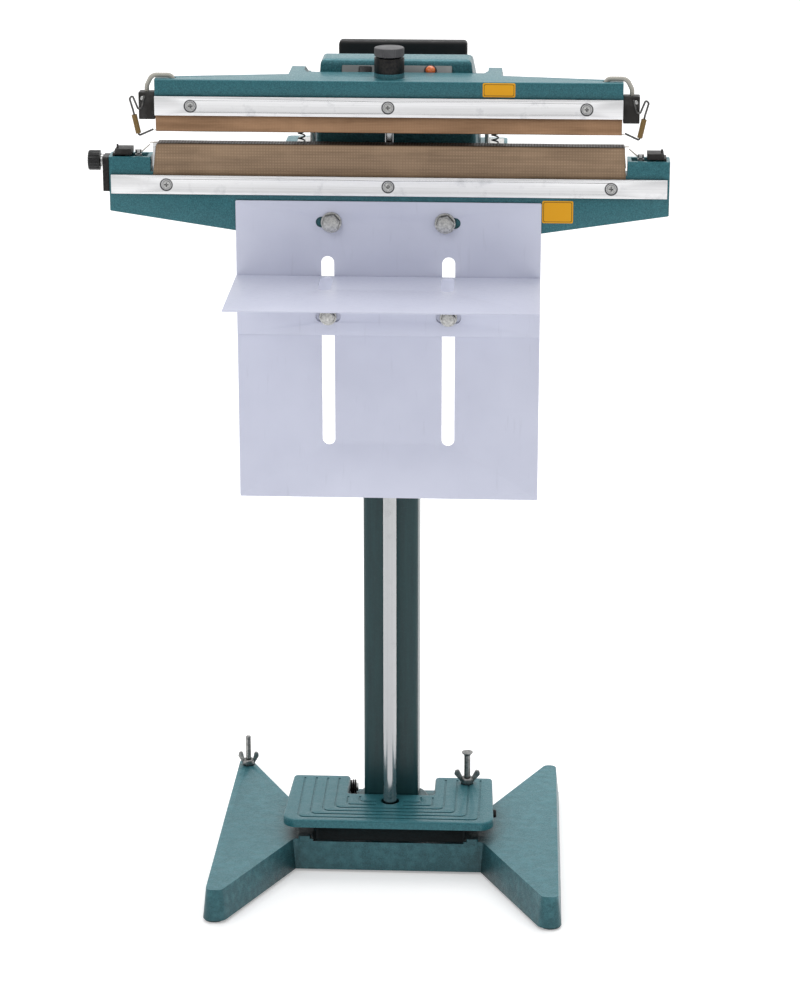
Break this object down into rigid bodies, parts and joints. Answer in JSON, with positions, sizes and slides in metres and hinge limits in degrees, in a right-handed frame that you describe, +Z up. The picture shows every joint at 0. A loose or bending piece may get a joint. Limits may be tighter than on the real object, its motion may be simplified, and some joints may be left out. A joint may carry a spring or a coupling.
{
  "type": "foot-pedal impulse heat sealer",
  "caption": "Free-standing foot-pedal impulse heat sealer: wide hinged sealing jaws on a column, adjustable bag tray, control box and cast base.",
  "frame": {"origin": "on the floor, on the column's axis", "axes": "+X to the operator's right along the jaws, +Y away from the operator, +Z up"},
  "size_m": [0.6015, 0.3724, 0.9058],
  "materials": {
    "hammertone_green": "hammertone enamel on cast iron",
    "cover_green": "hammertone enamel on sheet steel",
    "column_green": "smooth dark green enamel",
    "tray_pale": "pale satin paint",
    "zinc_steel": "zinc plated",
    "chrome_rod": "polished",
    "black_steel": "black oxide",
    "aluminium_strip": "brushed",
    "ptfe_cloth": "woven, satin",
    "nichrome": "rolled",
    "black_plastic": "moulded",
    "knob_plastic": "moulded, fluted",
    "insulator": "moulded phenolic",
    "panel_grey": "satin paint",
    "lamp_orange": "translucent",
    "lead_sleeve": "braided glass fibre",
    "sleeve_brown": "varnished braid",
    "copper_coil": "enamelled wire",
    "core_steel": "laminated",
    "board_green": "circuit board",
    "spring_steel": "drawn wire"
  },
  "bodies": {
    "frame": {"base_casting": "hammertone_green", "column_tube": "column_green", "column_clamp_screws": "black_steel", "pedal_pivot_pins": "zinc_steel", "pedal_return_spring": "black_steel", "levelling_stud": "zinc_steel", "levelling_wing_nut": "zinc_steel", "lower_body": "hammertone_green", "lower_sealing_bar": "aluminium_strip", "lower_heating_ribbon": "nichrome", "lower_ptfe_cloth": "ptfe_cloth", "lower_clamp_strip": "aluminium_strip", "lower_strip_screws": "zinc_steel", "lower_terminal_blocks": "insulator", "lower_terminal_screws": "zinc_steel", "lower_ribbon_wires": "nichrome", "timer_plate": "black_steel", "timer_potentiometer": "zinc_steel", "timer_nut": "zinc_steel", "tray_plate": "tray_pale", "tray_bolts": "zinc_steel", "tray_washers": "zinc_steel", "jaw_pivot_pins": "zinc_steel", "pivot_brackets": "zinc_steel", "jaw_lift_springs": "spring_steel", "box_base": "cover_green", "box_cover": "cover_green", "control_panel": "panel_grey", "lamp_bezel": "black_plastic", "lamp_lens": "lamp_orange", "carry_handle": "black_plastic", "transformer_core": "core_steel", "transformer_coil": "copper_coil", "timer_board": "board_green", "mains_inlet": "black_plastic"},
    "pedal_arm": {"pedal": "hammertone_green", "pedal_cross_shaft": "black_steel", "pedal_stop_screw": "zinc_steel", "pedal_stop_wing_nut": "zinc_steel"},
    "rod": {"pull_rod": "chrome_rod", "rod_end_eye": "zinc_steel"},
    "knob": {"pressure_knob": "black_plastic"},
    "dial": {"timer_knob": "knob_plastic"},
    "rocker": {"switch_rocker": "black_plastic"},
    "upper_jaw": {"upper_casting": "hammertone_green", "upper_sealing_bar": "aluminium_strip", "upper_heating_ribbon": "nichrome", "upper_ptfe_cloth": "ptfe_cloth", "upper_clamp_strip": "aluminium_strip", "upper_strip_screws": "zinc_steel", "upper_end_blocks": "insulator", "ribbon_tension_springs": "spring_steel", "ribbon_sleeves": "sleeve_brown", "upper_leads": "lead_sleeve", "spring_cup": "black_steel", "pressure_spring": "spring_steel"},
    "shelf": {"tray_shelf": "tray_pale", "shelf_bolts": "zinc_steel", "shelf_washers": "zinc_steel", "shelf_nuts": "zinc_steel"}
  },
  "joints": [
    {"name": "jaw_hinge", "type": "hinge", "parent": "frame", "child": "upper_jaw", "pos_m": [0, 0.078, 0.845], "axis": [1, 0, 0], "range_deg": [0, 4.16], "stiffness_Nm_per_rad": 60, "springref_deg": -11.46, "deforming": ["jaw_lift_springs"]},
    {"name": "pedal_hinge", "type": "hinge", "parent": "frame", "child": "pedal_arm", "pos_m": [0, 0.028, 0.048], "axis": [1, 0, 0], "range_deg": [0, 6.9]},
    {"name": "rod_slide", "type": "slide", "parent": "frame", "child": "rod", "axis": [0, 0, -1], "range_m": [0, 0.0094]},
    {"name": "pressure_knob_turn", "type": "hinge", "parent": "rod", "child": "knob", "pos_m": [0, -0.05, 0.9], "axis": [0, 0, 1], "continuous": true},
    {"name": "timer_knob_turn", "type": "hinge", "parent": "frame", "child": "dial", "pos_m": [-0.304, -0.061, 0.7877], "axis": [-1, 0, 0], "range_deg": [-150, 150]},
    {"name": "power_rocker", "type": "hinge", "parent": "frame", "child": "rocker", "pos_m": [-0.027, -0.0153, 0.8748], "axis": [-1, 0, 0], "range_deg": [0, 18]},
    {"name": "shelf_slide", "type": "slide", "parent": "frame", "child": "shelf", "axis": [0, 0, 1], "range_m": [-0.13, 0.04]}
  ],
  "couplings": [
    {"joint": "pedal_hinge", "follows": "jaw_hinge", "ratio": 1.644},
    {"joint": "rod_slide", "follows": "jaw_hinge", "m_per_rad": 0.128}
  ]
}
